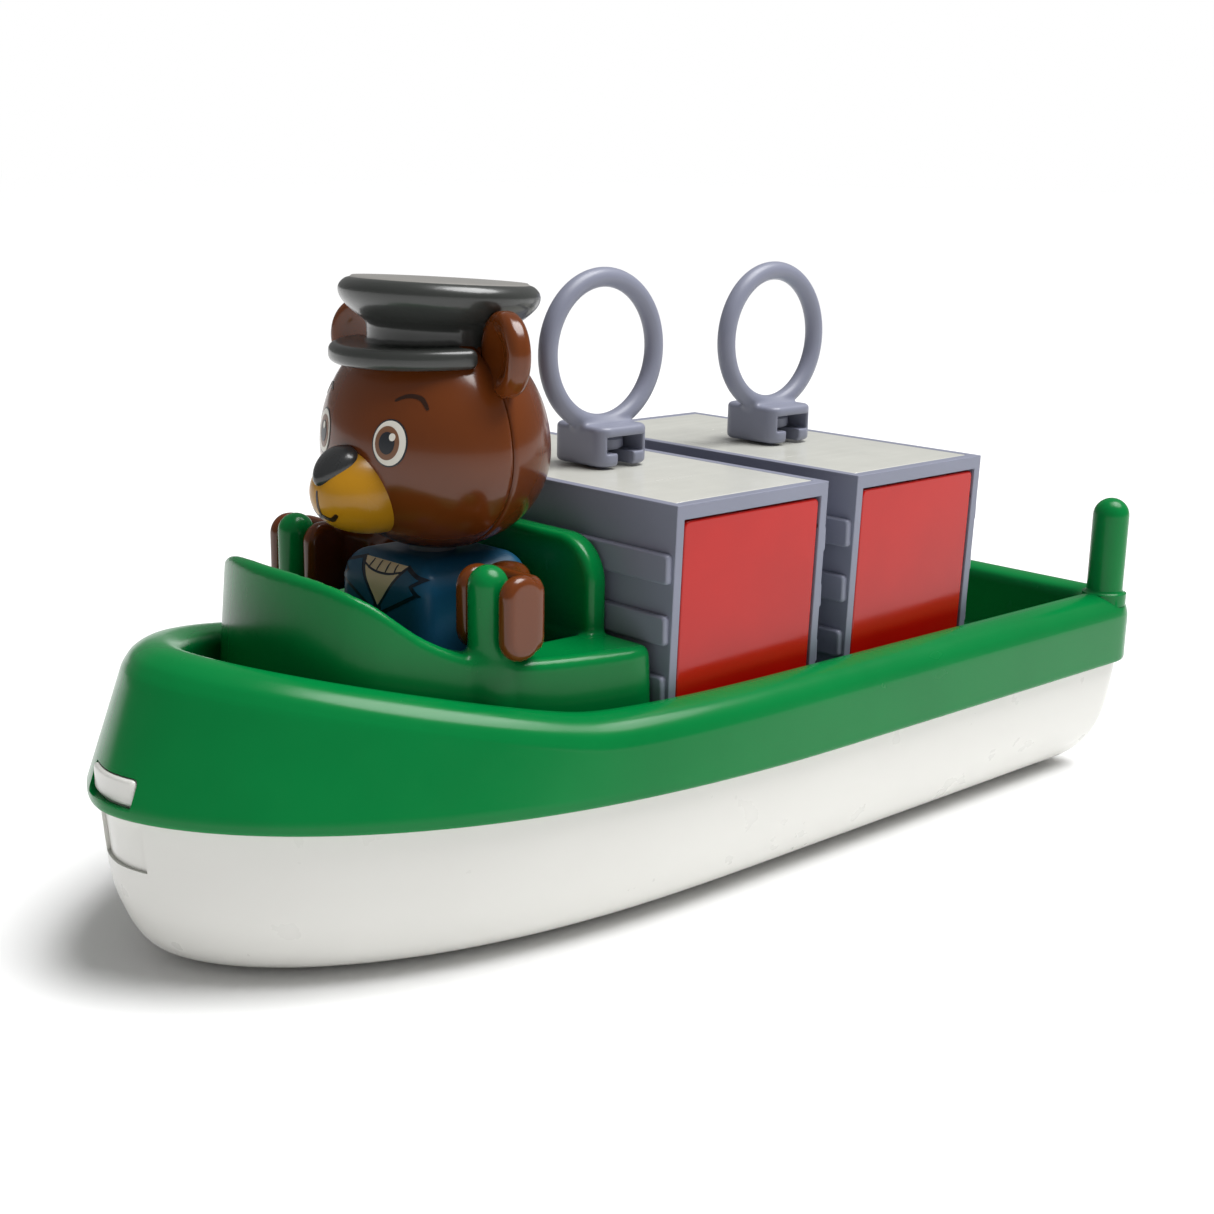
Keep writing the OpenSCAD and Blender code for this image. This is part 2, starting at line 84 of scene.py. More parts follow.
def plastic(name, rgb, rough=0.3, coat=0.0, mottle=0.06, grain=0.1, scuff=0.06, spec=0.4):
    """Moulded plastic: flow mottling in the colour, light handling scratches and a fine grain.

    mottle is the share by which the colour varies, grain the strength of the bumps, and scuff
    the roughness that a scratch adds.
    """
    mat = bpy.data.materials.new(name)
    mat.use_nodes = True
    nodes, links = mat.node_tree.nodes, mat.node_tree.links
    bsdf = nodes["Principled BSDF"]
    coord = nodes.new("ShaderNodeTexCoord")

    def noise(pattern, stretch=None):
        tex = nodes.new("ShaderNodeTexNoise")
        tex.inputs["Scale"].default_value, tex.inputs["Detail"].default_value = pattern
        vector = coord.outputs["Object"]
        if stretch:
            mapping = nodes.new("ShaderNodeMapping")
            mapping.inputs["Scale"].default_value = stretch
            mapping.inputs["Rotation"].default_value = SCRATCH_TURN
            links.new(vector, mapping.inputs["Vector"])
            vector = mapping.outputs["Vector"]
        links.new(vector, tex.inputs["Vector"])
        return tex.outputs["Fac"]

    def ranged(value, source, target):
        node = nodes.new("ShaderNodeMapRange")
        for word, limits in (("From", source), ("To", target)):
            for end, limit in zip(("Min", "Max"), limits):
                node.inputs[f"{word} {end}"].default_value = limit
        links.new(value, node.inputs["Value"])
        return node.outputs["Result"]

    def bump(height, depth, under=None):
        node = nodes.new("ShaderNodeBump")
        node.inputs["Strength"].default_value = grain
        node.inputs["Distance"].default_value = depth
        links.new(height, node.inputs["Height"])
        if under:
            links.new(under, node.inputs["Normal"])
        return node.outputs["Normal"]

    base = linear(rgb)[:3]
    ramp = nodes.new("ShaderNodeValToRGB")
    dark, light = ramp.color_ramp.elements
    dark.position, light.position = 0.3, 0.7
    dark.color = [max(0, c * (1 - mottle)) for c in base] + [1]
    light.color = [min(1, c * (1 + mottle) + mottle * 0.006) for c in base] + [1]
    links.new(noise(FLOW), ramp.inputs["Fac"])
    links.new(ramp.outputs["Color"], bsdf.inputs["Base Color"])

    add = nodes.new("ShaderNodeMath")
    add.operation = "ADD"
    links.new(ranged(noise(GLOSS), (0, 1), (rough - GLOSSIER, rough + DULLER)), add.inputs[0])
    links.new(ranged(noise(SCRATCH, SCRATCH_STRETCH), SCRATCH_FROM, (0, scuff)), add.inputs[1])
    links.new(add.outputs["Value"], bsdf.inputs["Roughness"])

    peel = bump(noise(PEEL), PEEL_DEPTH)
    links.new(bump(noise(FINE), FINE_DEPTH, peel), bsdf.inputs["Normal"])

    bsdf.inputs["Coat Weight"].default_value = coat
    bsdf.inputs["Coat Roughness"].default_value = COAT_ROUGH
    bsdf.inputs["Specular IOR Level"].default_value = spec
    return mat


MAT = {
    "green_plastic": plastic("green_plastic", (0, 118, 55), 0.22, coat=0.05, spec=0.2),
    "white_plastic": plastic("white_plastic", (222, 221, 216), 0.28, coat=0.1, mottle=0.015,
                             scuff=0.025),
    "grey_plastic": plastic("grey_plastic", (132, 135, 152), 0.36, mottle=0.05),
    "pale_plastic": plastic("pale_plastic", (208, 208, 200), 0.22, coat=0.3, mottle=0.02),
    "red_plastic": plastic("red_plastic", (186, 16, 6), 0.14, coat=0.1, mottle=0.08, spec=0.3),
    "brown_plastic": plastic("brown_plastic", (100, 48, 14), 0.18, coat=0.15, mottle=0.1,
                             spec=0.35),
    "blue_plastic": plastic("blue_plastic", (26, 88, 122), 0.34, coat=0.05, mottle=0.08,
                            spec=0.3),
    "yellow_plastic": plastic("yellow_plastic", (178, 126, 22), 0.24, coat=0.1, mottle=0.1,
                              spec=0.3),
    "black_plastic": plastic("black_plastic", (44, 45, 46), 0.26, coat=0.3, mottle=0.1),
    "cap_plastic": plastic("cap_plastic", (52, 54, 52), 0.3, coat=0.35, mottle=0.08),
    "pin_plastic": plastic("pin_plastic", (96, 100, 106), 0.35),
}
# Each print's own paint, with the record's slot that goes with it.
INK = {
    "white": (plastic("print_white", (226, 222, 212), 0.3, mottle=0.02), "white_plastic"),
    "iris": (plastic("print_iris", (120, 82, 58), 0.28, mottle=0.12), "brown_plastic"),
    "dark": (plastic("print_dark", (30, 34, 40), 0.3, mottle=0.1), "black_plastic"),
    "cream": (plastic("print_cream", (238, 212, 174), 0.34, mottle=0.04), "pale_plastic"),
    "navy": (plastic("print_navy", (8, 28, 46), 0.34, mottle=0.08), "black_plastic"),
    "brow": (plastic("print_brow", (44, 22, 10), 0.3, mottle=0.1), "black_plastic"),
    # The entry for the cap's crown is no print: a lighter grey disc that paints the highlight where
    # light falls on the cap's top.
    "cap_top": (plastic("painted_cap_highlight", (138, 136, 132), 0.35, mottle=0.05), "cap_plastic"),
    "cloth": (MAT["blue_plastic"], "blue_plastic"),
}


# ---------------------------------------------------------------- mesh helpers
def make(name, verts, faces, node=None, body=None, slot=None, material=None):
    """A smooth mesh object from points in mm, kept inside the CAD box, that rides on its body."""
    mesh = bpy.data.meshes.new(name)
    inside = np.clip(np.asarray(verts) * MM, cad_low, cad_high)
    mesh.from_pydata(inside.tolist(), [], [list(f) for f in faces])
    mesh.update()
    mesh.polygons.foreach_set("use_smooth", [True] * len(mesh.polygons))
    mesh.materials.append(material or MAT[slot])
    obj = bpy.data.objects.new(name, mesh)
    scene.collection.objects.link(obj)
    dress(obj, node, body)
    return obj


def dress(obj, node, body):
    """Makes a piece ride on its body and stand for its CAD node."""
    if node or body:
        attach(obj, body or BODY[node])
    if node:
        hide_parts(node)


# Mesh points move on to the surface in NEWTON_STEPS moves of at most STRIDE cells each, along a
# gradient that is measured over PROBE mm and whose square counts as at least FLATTEST.
PROBE, NEWTON_STEPS, STRIDE, FLATTEST = 0.04, 3, 0.6, 0.05


def surface_nets(f, low, high, step):
    """Quads on the zero surface of f, with their corners moved on to the surface."""
    axes = [np.arange(a - step, b + 2 * step, step) for a, b in zip(low, high)]
    X, Y, Z = np.meshgrid(*axes, indexing="ij")
    V = f(X, Y, Z)
    inside = V < 0
    count = np.zeros(tuple(n - 1 for n in V.shape), np.int8)
    corners = [(i, j, k) for i in (0, 1) for j in (0, 1) for k in (0, 1)]

    def shifted(a, c):
        return a[tuple(slice(o, o + n - 1) for o, n in zip(c, a.shape))]

    for c in corners:
        count += shifted(inside, c)
    active = (count > 0) & (count < 8)
    cells = np.argwhere(active)
    index = np.full(active.shape, -1)
    index[active] = np.arange(len(cells))
    total = np.zeros((len(cells), 3))
    hits = np.zeros(len(cells))
    for c in corners:
        for axis in range(3):
            if c[axis]:
                continue
            d = list(c)
            d[axis] = 1
            va = shifted(V, c)[active]
            vb = shifted(V, tuple(d))[active]
            cross = (va < 0) != (vb < 0)
            t = np.where(cross, va / np.where(cross, va - vb, 1), 0)
            at = np.array(c, float) + np.zeros((len(cells), 3))
            at[:, axis] += t
            total += at * cross[:, None]
            hits += cross
    origin = np.array([a[0] for a in axes])
    P = origin + (cells + total / hits[:, None]) * step
    for _ in range(NEWTON_STEPS):
        value = f(*P.T)
        grad = np.stack([
            f(*(P + PROBE * e).T) - f(*(P - PROBE * e).T) for e in np.eye(3)], 1) / (2 * PROBE)
        move = value[:, None] * grad / np.maximum((grad ** 2).sum(1), FLATTEST)[:, None]
        length = np.linalg.norm(move, axis=1, keepdims=True)
        P = P - move * np.minimum(1, STRIDE * step / np.maximum(length, 1e-9))
    quads = []
    for axis in range(3):
        u, v = (axis + 1) % 3, (axis + 2) % 3
        a = np.take(inside, range(0, V.shape[axis] - 1), axis)
        b = np.take(inside, range(1, V.shape[axis]), axis)
        edge = np.argwhere(a != b)
        edge = edge[(edge[:, u] > 0) & (edge[:, v] > 0)
                    & (edge[:, u] < V.shape[u] - 1) & (edge[:, v] < V.shape[v] - 1)]
        ring = []
        for du, dv in ((-1, -1), (0, -1), (0, 0), (-1, 0)):
            q = edge.copy()
            q[:, u] += du
            q[:, v] += dv
            ring.append(index[tuple(q.T)])
        ring = np.stack(ring, 1)
        outward = a[tuple(edge.T)]
        quads.append(np.where(outward[:, None], ring, ring[:, ::-1]))
    return P, np.concatenate(quads)


def solid(name, f, low, high, step, **kw):
    verts, quads = surface_nets(f, low, high, step)
    return make(name, verts, quads.tolist(), **kw)


def both(a, b, r=0.0):
    """Where a and b overlap, with an edge of radius r."""
    if r <= 0:
        return np.maximum(a, b)
    return np.minimum(np.maximum(a, b), -r) + np.hypot(np.maximum(a + r, 0), np.maximum(b + r, 0))


def join(a, b, r=0.0):
    """a and b together, with a fillet of radius r."""
    return -both(-a, -b, r)


def cut(a, b, r=0.0):
    """a without b."""
    return both(a, -b, r)


def slab(v, low, high):
    return np.maximum(low - v, v - high)

def rect2(U, V, cu, cv, hu, hv, r):
    """Signed distance to a rectangle with centre c, half sizes h and corner radius r."""
    qu, qv = np.abs(U - cu) - hu + r, np.abs(V - cv) - hv + r
    return np.hypot(np.maximum(qu, 0), np.maximum(qv, 0)) + np.minimum(np.maximum(qu, qv), 0) - r


def poly2(U, V, pts):
    """Signed distance to a closed polygon in a plane."""
    pts = np.asarray(pts, float)
    best = np.full(np.shape(U), 1e9)
    sign = np.ones(np.shape(U))
    for (ax, ay), (bx, by) in zip(pts, np.roll(pts, -1, 0)):
        ex, ey = bx - ax, by - ay
        wx, wy = U - ax, V - ay
        t = np.clip((wx * ex + wy * ey) / (ex * ex + ey * ey), 0, 1)
        best = np.minimum(best, (wx - ex * t) ** 2 + (wy - ey * t) ** 2)
        c1, c2, c3 = V >= ay, V < by, ex * wy > ey * wx
        flip = (c1 & c2 & c3) | (~c1 & ~c2 & ~c3)
        sign = np.where(flip, -sign, sign)
    return sign * np.sqrt(best)


def spline(pts, per=6):
    """Catmull-Rom curve through points of any dimension, open at its ends."""
    p = np.asarray(pts, float)
    last = len(p) - 1
    out = []
    for i in range(last):
        a, b, c, d = p[max(i - 1, 0)], p[i], p[i + 1], p[min(i + 2, last)]
        for t in np.arange(per) / per:
            out.append(0.5 * (2 * b + (c - a) * t + (2 * a - 5 * b + 4 * c - d) * t * t
                              + (3 * b - a - 3 * c + d) * t ** 3))
    return np.array(out + [p[-1]])


# ---------------------------------------------------------------- outline shared with the CAD
BOW, MID, FLARE, STERN_R = 105.7, 47.7, 0.03, 9.0
BLUNT_X, BLUNT_Y, LEAN = 0.7, 1.16, 9.1
RIM_Z, RIM_W = 37.2, 8.7
SHEER, SHEER_FROM, SHEER_SOFT = 0.24, 42.3, 5
BAND_Z, BAND_SLOPE, BAND_SOFT = 24.2, 0.031, 8
FLOOR, WALL, SKIRT = 24.5, 1.8, 1.35


def bow_steps(n):
    """Angles that give the bow's outline points an even spacing."""
    a = np.linspace(0, math.pi / 2, 4000)
    x, y = BOW * np.cos(a) ** BLUNT_X, MID * np.sin(a) ** BLUNT_Y
    run = np.concatenate([[0], np.cumsum(np.hypot(np.diff(x), np.diff(y)))])
    return np.interp(np.linspace(0, run[-1], n), run, a)


BOW_A = bow_steps(110)


def stern_half(x, d):
    """Half width aft of midships, d inside the outline."""
    return MID - d - FLARE * x


def outline(d):
    """The boat's plan, d inside its outline: bow, port side, stern corner, stern and back."""
    x = (BOW - d) * np.abs(np.cos(BOW_A)) ** BLUNT_X
    x[-1] = 0
    side = [np.stack([x, (MID - d - FLARE * x) * np.sin(BOW_A) ** BLUNT_Y], 1)]
    r = max(4, STERN_R - d)
    cx = d + r - BOW
    xs = np.linspace(0, cx, 50)[1:-1]
    side.append(np.stack([xs, stern_half(xs, d)], 1))
    a = np.linspace(0, math.pi / 2, 14)
    side.append(np.stack([cx - r * np.sin(a), stern_half(cx, d) - r * (1 - np.cos(a))], 1))
    ys = np.linspace(stern_half(cx, d) - r, 0, 22)[1:]
    side.append(np.stack([np.full(len(ys), cx - r), ys], 1))
    side = np.concatenate(side)
    return np.concatenate([side, (side * [1, -1])[1:-1][::-1]])


def rise(x, start, soft):
    """x - start ahead of start and 0 behind it, with a soft bend between."""
    return (x - start + np.hypot(x - start, soft)) / 2


def rim_at(x):
    return RIM_Z + SHEER * (rise(x, SHEER_FROM, SHEER_SOFT) - rise(-BOW, SHEER_FROM, SHEER_SOFT))


def band_at(x):
    return BAND_Z + BAND_SLOPE * rise(x, 0, BAND_SOFT)


def lean_plan(d, lean):
    """The outline with its bow leaning inwards by a share of LEAN."""
    o, q = outline(d), outline(d + 1)
    amount = LEAN * (np.maximum(0, o[:, :1]) / BOW) ** 2
    return o + (q - o) * lean * amount


def with_z(plan, z):
    return np.column_stack([plan, np.broadcast_to(z, len(plan))])


# Rings d inside the outline: along the band, along the rim, level up the walls, level.
def band_ring(d, up):
    p = outline(d)
    return with_z(p, band_at(p[:, 0]) + up)


def rim_ring(d, up, lean=1.0):
    p = lean_plan(d, lean)
    return with_z(p, rim_at(p[:, 0]) + up)


def wall_ring(d, z):
    return with_z(lean_plan(d, 1), z)


def flat_ring(d, z):
    return with_z(outline(d), z)


def loft(rings):
    """Points and faces of a solid through rings, capped at both ends."""
    n = len(rings[0])
    faces = []
    for j in range(len(rings) - 1):
        for i in range(n):
            k = (i + 1) % n
            faces.append((j * n + i, j * n + k, (j + 1) * n + k, (j + 1) * n + i))
    faces.append(tuple(range(n - 1, -1, -1)))
    last = (len(rings) - 1) * n
    faces.append(tuple(last + i for i in range(n)))
    return np.concatenate(rings), faces


def boolean(obj, other, operation):
    mod = obj.modifiers.new(operation, "BOOLEAN")
    mod.operation = operation
    mod.solver = "MANIFOLD"
    mod.object = other


def apply(obj, *tools):
    """Bakes the modifiers into the mesh and removes the tools."""
    dg = bpy.context.evaluated_depsgraph_get()
    dg.update()
    mesh = bpy.data.meshes.new_from_object(obj.evaluated_get(dg))
    obj.modifiers.clear()
    obj.data = mesh
    for t in tools:
        bpy.data.objects.remove(t)


def weigh(obj, angle=35, curved=False):
    """Marks the sharp edges and, unless the piece is curved all over, shades flat faces flat."""
    mesh = obj.data
    bm = bmesh.new()
    bm.from_mesh(mesh)
    for e in bm.edges:
        e.smooth = not (len(e.link_faces) == 2 and e.calc_face_angle(0) > math.radians(angle))
    bm.to_mesh(mesh)
    bm.free()
    mesh.polygons.foreach_set("use_smooth", [True] * len(mesh.polygons))
    if not curved:
        mod = obj.modifiers.new("weigh", "WEIGHTED_NORMAL")
        mod.keep_sharp = True


def block(name, low, high, r=0.0):
    """A cutting tool: a block, with its edges rounded if r is given."""
    c = [(a + b) / 2 for a, b in zip(low, high)]
    h = [(b - a) / 2 for a, b in zip(low, high)]
    obj = make(name, [[c[0] + sx * h[0], c[1] + sy * h[1], c[2] + sz * h[2]]
                      for sx in (-1, 1) for sy in (-1, 1) for sz in (-1, 1)],
               [(0, 1, 3, 2), (4, 6, 7, 5), (0, 4, 5, 1), (2, 3, 7, 6), (0, 2, 6, 4), (1, 5, 7, 3)],
               slot="white_plastic")
    bm = bmesh.new()
    bm.from_mesh(obj.data)
    bmesh.ops.recalc_face_normals(bm, faces=bm.faces)
    if r:
        bmesh.ops.bevel(bm, geom=list(bm.edges), offset=r * MM, segments=4, profile=0.5,
                        affect="EDGES")
    bm.to_mesh(obj.data)
    bm.free()
    return obj


# ---------------------------------------------------------------- boat
# Hull sections as (inset, height); the recess in the stem is a box less an upright cone.
BILGE = [(19, 0), (16, 0.15), (12.4, 0.9), (8.8, 2.7), (6.2, 5.6), (4.3, 9.6), (2.8, 15)]
INSIDE = [(4.7, 15), (6.2, 9.6), (8, 6.2), (10.4, 3.8), (14, 2.2)]
RECESS_HALF, RECESS_Z, RECESS_DEPTH = 6.2, (18.6, 26.5), 3.45
CORE_R, CORE_Z = (14.5, 15.9), (14, 30)

# Deck sections: the band's edge as (inset, height above the band), the rim as (inset, height
# above the rim, share of the lean), and the foot of the wall as (inset, height above the floor).
BAND_EDGE = [(0.75, 0), (0.25, 0.1), (0, 0.6), (0, 1.6)]
RIM_CREST = [(0, -3.9, 0.72), (0.12, -2.9, 0.77), (0.7, -1.3, 0.84), (1.9, 0.1, 0.92),
             (3.4, 0.9, 0.97), (5.2, 1.25, 1), (7.0, 1.0, 1), (8.2, 0.35, 1), (8.68, -0.9, 1),
             (8.7, -2.4, 1)]
WALL_FOOT = [(8.7, 1.6), (8.85, 0.7), (9.4, 0.15), (10.4, 0)]
POST, POST_LOW, POST_TOP, POST_R = (-97.5, 45.6), 36.0, 58.2, 3.65
FILLET, FILLET_UP = 0.8, 2.4

# Catches at both ends, and their slots in the deck.
CATCH_Z, CATCH_W, CATCH_H, CATCH_R = 31.4, 6.0, 2.05, 17
SLOT_W, SLOT_Z, SLOT_L, SLOT_START = 6.3, (29.1, 33.7), 7.2, 5.2


def revolve(profile, n=64):
    """Closed surface of revolution about z; its (radius, z) points start and end on the axis."""
    verts, faces = [(0, 0, profile[0][1])], []
    mid = profile[1:-1]
    for r, z in mid:
        for i in range(n):
            a = 2 * math.pi * i / n
            verts.append((r * math.cos(a), r * math.sin(a), z))
    verts.append((0, 0, profile[-1][1]))
    top = len(verts) - 1
    for i in range(n):
        k = (i + 1) % n
        faces.append((0, 1 + k, 1 + i))
        base = 1 + (len(mid) - 1) * n
        faces.append((top, base + i, base + k))
        for j in range(len(mid) - 1):
            a, b = 1 + j * n, 1 + (j + 1) * n
            faces.append((a + i, a + k, b + k, b + i))
    return np.array(verts), faces


def build_hull():
    """White lower hull, open on top, with the shallow recess in its stem."""
    skin = spline([flat_ring(*at) for at in BILGE] + [band_ring(1.7, -0.6), band_ring(1.55, 2)])
    inner = [band_ring(1.5, 4.2), band_ring(3.3, 4.2)] + [flat_ring(*at) for at in INSIDE]
    hull = make("hull", *loft([flat_ring(24, 0), *skin, *inner]), node="lower_hull",
                slot="white_plastic")
    dig = block("dig", (BOW - 9, -RECESS_HALF, RECESS_Z[0]), (BOW + 4, RECESS_HALF, RECESS_Z[1]))
    (low_r, high_r), (low, high) = CORE_R, CORE_Z
    v, f = revolve([(0, low), (low_r, low), (high_r, high), (0, high)], 160)
    core = make("dig_core", v + np.array([BOW - RECESS_DEPTH - low_r, 0, 0]), f,
                slot="white_plastic")
    boolean(dig, core, "DIFFERENCE")
    apply(dig, core)
    boolean(hull, dig, "DIFFERENCE")
    apply(hull, dig)
    weigh(hull, 50, curved=True)


def build_deck():
    """Green moulding: rounded rim, side band, inner walls, cargo floor, stern post, two slots."""
    under = [wall_ring(RIM_W - WALL, FLOOR - 2), rim_ring(RIM_W - WALL, -2),
             rim_ring(SKIRT, -3.6, 0.75), rim_ring(SKIRT, -8, 0.45),
             band_ring(SKIRT, 4.4), band_ring(SKIRT, 0.1), band_ring(SKIRT - 0.4, 0)]
    edge = spline([band_ring(*at) for at in BAND_EDGE], 3)
    crest = [rim_ring(*at) for at in RIM_CREST]
    side = [edge[-1] + (crest[0] - edge[-1]) * t for t in np.linspace(0, 1, 14)[:-1]]
    foot = spline([wall_ring(d, FLOOR + up) for d, up in WALL_FOOT], 3)
    rings = [*under, *edge[:-1], *side, *spline(crest), *foot]
    deck = make("gunwale", *loft(rings), node="deck", slot="green_plastic")

    fillet = [(POST_R + FILLET * (1 - math.sin(a)),
               POST_LOW + FILLET_UP + FILLET * (1 - math.cos(a)))
              for a in np.linspace(0, math.pi / 2, 7)]
    dome = [(POST_R * math.cos(a), POST_TOP - POST_R + POST_R * math.sin(a))
            for a in np.linspace(0, math.pi / 2, 12)[:-1]]
    v, f = revolve([(0, POST_LOW), (POST_R + FILLET, POST_LOW), *fillet, *dome, (0, POST_TOP)])
    post = make("post_tool", v + np.array([*POST, 0]), f, slot="green_plastic")
    boolean(deck, post, "UNION")
    tools = [post]
    for i, x in enumerate((BOW - SLOT_START, -BOW - SLOT_L + SLOT_START)):
        slot = block(f"slot_{i}", (x, -SLOT_W, SLOT_Z[0]), (x + SLOT_L, SLOT_W, SLOT_Z[1]), 0.8)
        boolean(deck, slot, "DIFFERENCE")
        tools.append(slot)
    apply(deck, *tools)
    weigh(deck, 45, curved=True)


def build_catches():
    """White catches in the deck's slots: round-faced at the bow, flat at the stern."""
    def catch(way):
        def f(X, Y, Z):
            X = X * way
            if way > 0:
                face = np.hypot(X - (BOW - 1.1 - CATCH_R), Y) - CATCH_R
            else:
                face = X - (BOW - 0.55)
            side = rect2(Y, Z, 0, CATCH_Z, CATCH_W, CATCH_H, 0.8)
            return both(both(side, face, 0.5), BOW - 4.6 - X)
        return f
    for way, name in ((1, "bow_catch"), (-1, "stern_catch")):
        aft, fore = sorted((way * (BOW - 5), way * BOW))
        solid(name, catch(way), (aft, -6.4, SLOT_Z[0]), (fore, 6.4, SLOT_Z[1]), 0.25, body="boat",
              slot="white_plastic")


# ---------------------------------------------------------------- cockpit
COCKPIT_X, BACK_T, WELL = 25.2, 4.1, 21.5
SCREEN_X, SCREEN_Z, SCREEN_R, SCREEN_RAKE, RAKE_TOP = 80.5, 61.4, 40, 3.6, 61.2
GRAB_AT, GRAB_R, GRAB_TOP = (53.0, 26.4), 3.2, 59.2
SIDE_CREST = [(20, 46.3), (40, 46.6), (50, 47.2), (56, 48.4), (60, 49.9), (64.2, 52.4),
              (68.3, 56), (71.9, 58.9), (75, 60.7), (79, SCREEN_Z), (86, SCREEN_Z)]


def build_cockpit():
    """Green tub: S-shaped sides, raked round screen, seat back and two grab posts."""
    plan_out, plan_in = (lean_plan(RIM_W + inset, 1)[::3] for inset in (1.6, 4.2))
    profile = np.concatenate([spline(SIDE_CREST, 3), [(90, 10), (20, 10)]])

    def flat_distances(X, Y, Z):
        """Distances that need two axes only, worked out once per plane of a full grid."""
        if X.ndim == 1:
            return poly2(X, Y, plan_out), poly2(X, Y, plan_in), poly2(X, Z, profile)
        plan = X[:, :, 0], Y[:, :, 0]
        side = poly2(X[:, 0, :], Z[:, 0, :], profile)[:, None, :]
        return poly2(*plan, plan_out)[:, :, None], poly2(*plan, plan_in)[:, :, None], side

    def screen(X, Y, Z, inset):
        r = SCREEN_R - inset - SCREEN_RAKE * (Z - FLOOR) / (RAKE_TOP - FLOOR)
        return np.hypot(X - (SCREEN_X - SCREEN_R), Y) - r

    def f(X, Y, Z):
        outside, inside, side = flat_distances(X, Y, Z)
        body = both(both(outside, side, 1.7), screen(X, Y, Z, 0), 1.7)
        body = both(body, COCKPIT_X - X, 1.3)
        well = both(both(inside, screen(X, Y, Z, 2.6), 2.0), slab(Y, -WELL, WELL), 2.0)
        well = both(well, COCKPIT_X + BACK_T - X, 1.0)
        well = both(well, FLOOR + 1.5 - Z, 0.8)
        body = cut(body, well, 1.2)
        back = rect2(Y, Z, 0, 38.6, 24.1, 24.0, 8.0)
        back = both(back, slab(X, COCKPIT_X, COCKPIT_X + BACK_T), 1.2)
        body = join(body, back, 0.8)
        for s in (-1, 1):
            r = np.hypot(X - GRAB_AT[0], Y - s * GRAB_AT[1])
            post = np.sqrt(np.maximum(Z - GRAB_TOP, 0) ** 2 + r * r) - GRAB_R
            body = join(body, both(post, 40 - Z), 1.6)
        return both(body, FLOOR - Z)

    solid("cockpit_tub", f, (25, -41, 24), (82, 41, 63), 0.62, node="cockpit",
          slot="green_plastic")


# ---------------------------------------------------------------- containers
BOX_L, BOX_W, BOX_H, DRAFT, BOX_TOP = 37.8, 76.2, 45.0, 1.5, 69.75
BOX_X = {"fore": 4.6, "aft": -41.3}
WINDOW_MARGIN, WINDOW_H, WINDOW_T, WINDOW_IN, WINDOW_DOWN = 4.2, BOX_H - 4.3, 1.6, 1.1, 2.8
RIB_H, RIB_T, RIB_FIRST, RIB_PITCH, RIB_NARROWER = 5.0, 1.8, 10.6, 10.3, 0.69
RING_R, RING_TUBE, RING_Z = 13.05, 1.75, 20.4


def paint(node, slot):
    """Gives a CAD node that stays visible its material."""
    mesh = frame["nodes"][node].data
    mesh.materials.clear()
    mesh.materials.append(MAT[slot])


def refined(node, slot, bevel=0.35, shortest=2.4):
    """The CAD node's own shape with its flat faces rejoined and its long edges rounded."""
    name = node + "_shape"
    bm = bmesh.new()
    bm.from_mesh(frame["nodes"][node].data)
    bmesh.ops.remove_doubles(bm, verts=bm.verts, dist=2e-6)
    bmesh.ops.dissolve_limit(bm, angle_limit=math.radians(0.6), verts=bm.verts, edges=bm.edges)
    edges = [e for e in bm.edges if len(e.link_faces) == 2 and e.calc_length() > shortest * MM
             and e.calc_face_angle(0) > math.radians(20)]
    bmesh.ops.bevel(bm, geom=edges, offset=bevel * MM, segments=3, profile=0.5, affect="EDGES",
                    clamp_overlap=False)
    mesh = bpy.data.meshes.new(name)
    bm.to_mesh(mesh)
    bm.free()
    mesh.materials.append(MAT[slot])
    obj = bpy.data.objects.new(name, mesh)
    scene.collection.objects.link(obj)
    dress(obj, node, None)
    weigh(obj, 40)


def rounded_slab(name, l, h, t, corner, edge, place, **kw):
    """Plate l by h by t in its own x-z plane, with rounded corners and softened rims."""
    pts = []
    for cx, cz, start in ((1, 1, 0), (-1, 1, 90), (-1, -1, 180), (1, -1, 270)):
        for a in np.radians(np.linspace(start, start + 90, 6)):
            pts.append((cx * (l / 2 - corner) + corner * math.cos(a),
                        cz * (h / 2 - corner) + corner * math.sin(a)))
    shape = np.array(pts) - np.mean(pts, 0)
    rings = []
    for y, inset in ((-t / 2, edge), (-t / 2 + edge * 0.3, edge * 0.3), (-t / 2 + edge, 0),
                     (t / 2 - edge, 0), (t / 2 - edge * 0.3, edge * 0.3), (t / 2, edge)):
        scaled = shape * [1 - 2 * inset / l, 1 - 2 * inset / h]
        rings.append(np.insert(scaled, 1, y, axis=1)[::-1])
    v, f = loft(rings)
    weigh(make(name, [place @ Vector(p) for p in v], f, **kw), 50)


def ring_shape(X, Y, Z):
    """Ring on a block with a T-slot for the lug, about the lug's axis."""
    def keyhole(half, low, high):
        """A slot from the lug's axis out to port, with a round end."""
        plan = np.minimum(both(slab(X, -half, half), -Y), np.hypot(X, Y) - half)
        return both(plan, slab(Z, low, high))
    ring = np.hypot(np.hypot(X, Z - RING_Z) - RING_R, Y) - RING_TUBE
    body = both(rect2(X, Y, 0, 0, 6.1, 6.75, 2.6), slab(Z, 0.45, 7.6), 0.9)
    t_slot = np.minimum(keyhole(4.4, 2.8, 5.8), keyhole(1.95, -1, 3))
    return both(cut(join(ring, body, 1.1), t_slot, 0.35), 0.45 - Z)


